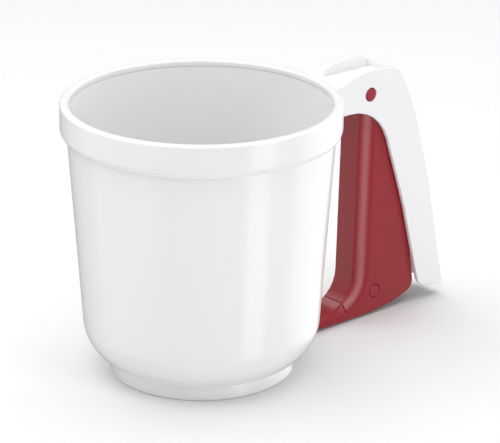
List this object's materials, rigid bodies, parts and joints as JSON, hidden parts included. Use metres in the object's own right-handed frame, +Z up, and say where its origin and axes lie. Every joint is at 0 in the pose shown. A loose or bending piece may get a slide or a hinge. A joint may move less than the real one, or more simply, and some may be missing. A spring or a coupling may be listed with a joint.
{
  "type": "flour sifter",
  "caption": "Tapered plastic cup with a one-hand squeeze trigger that swings a wire stirrer over a round sieve.",
  "frame": {"origin": "on the cup's axis, in the plane of the foot that the sifter stands on", "axes": "+Z up the cup's axis, +X from the cup's axis towards the handle, Y across the handle"},
  "size_m": [0.205, 0.125, 0.126],
  "materials": {
    "white_plastic": "smooth semi-gloss cool white moulding",
    "red_plastic": "fine-textured satin wine red moulding",
    "pin_red": "smooth deep red pin",
    "nylon": "natural nylon",
    "steel": "drawn stainless steel",
    "mesh_steel": "woven stainless wire"
  },
  "bodies": {
    "cup_body": {"cup": "white_plastic", "collar_handle": "white_plastic", "pivot_pin": "pin_red", "return_spring": "steel", "base_ring": "white_plastic", "rod_guide": "nylon", "sieve_mesh": "mesh_steel", "mesh_clamp": "steel", "spindle": "steel", "spindle_clip": "steel", "spindle_nut": "steel", "hub_washer": "nylon", "bridge": "steel", "bridge_screw_left": "steel", "bridge_screw_right": "steel"},
    "trigger_body": {"trigger": "red_plastic", "drive_pin": "pin_red"},
    "pull_body": {"pull_link": "red_plastic", "pull_rod": "steel", "yoke": "steel"},
    "stirrer_body": {"stirrer_hub": "nylon", "crank_pin": "steel", "stirrer_loop_1": "steel", "stirrer_loop_2": "steel", "stirrer_loop_3": "steel", "stirrer_loop_4": "steel"}
  },
  "joints": [
    {"name": "trigger_squeeze", "type": "hinge", "parent": "cup_body", "child": "trigger_body", "pos_m": [0.092, 0, 0.112], "axis": [0, -1, 0], "range_deg": [0, 7.5], "stiffness_Nm_per_rad": 2, "springref_deg": -4.58, "deforming": ["return_spring"]},
    {"name": "rod_pull", "type": "slide", "parent": "cup_body", "child": "pull_body", "axis": [1, 0, 0], "range_m": [0, 0.0131]},
    {"name": "stirrer_swing", "type": "hinge", "parent": "cup_body", "child": "stirrer_body", "pos_m": [0, 0, 0.005], "axis": [0, 0, -1], "range_deg": [0, 48.2]}
  ],
  "couplings": [
    {"joint": "rod_pull", "follows": "trigger_squeeze", "m_per_rad": 0.09955},
    {"joint": "stirrer_swing", "follows": "trigger_squeeze", "ratio": 6.4067}
  ]
}
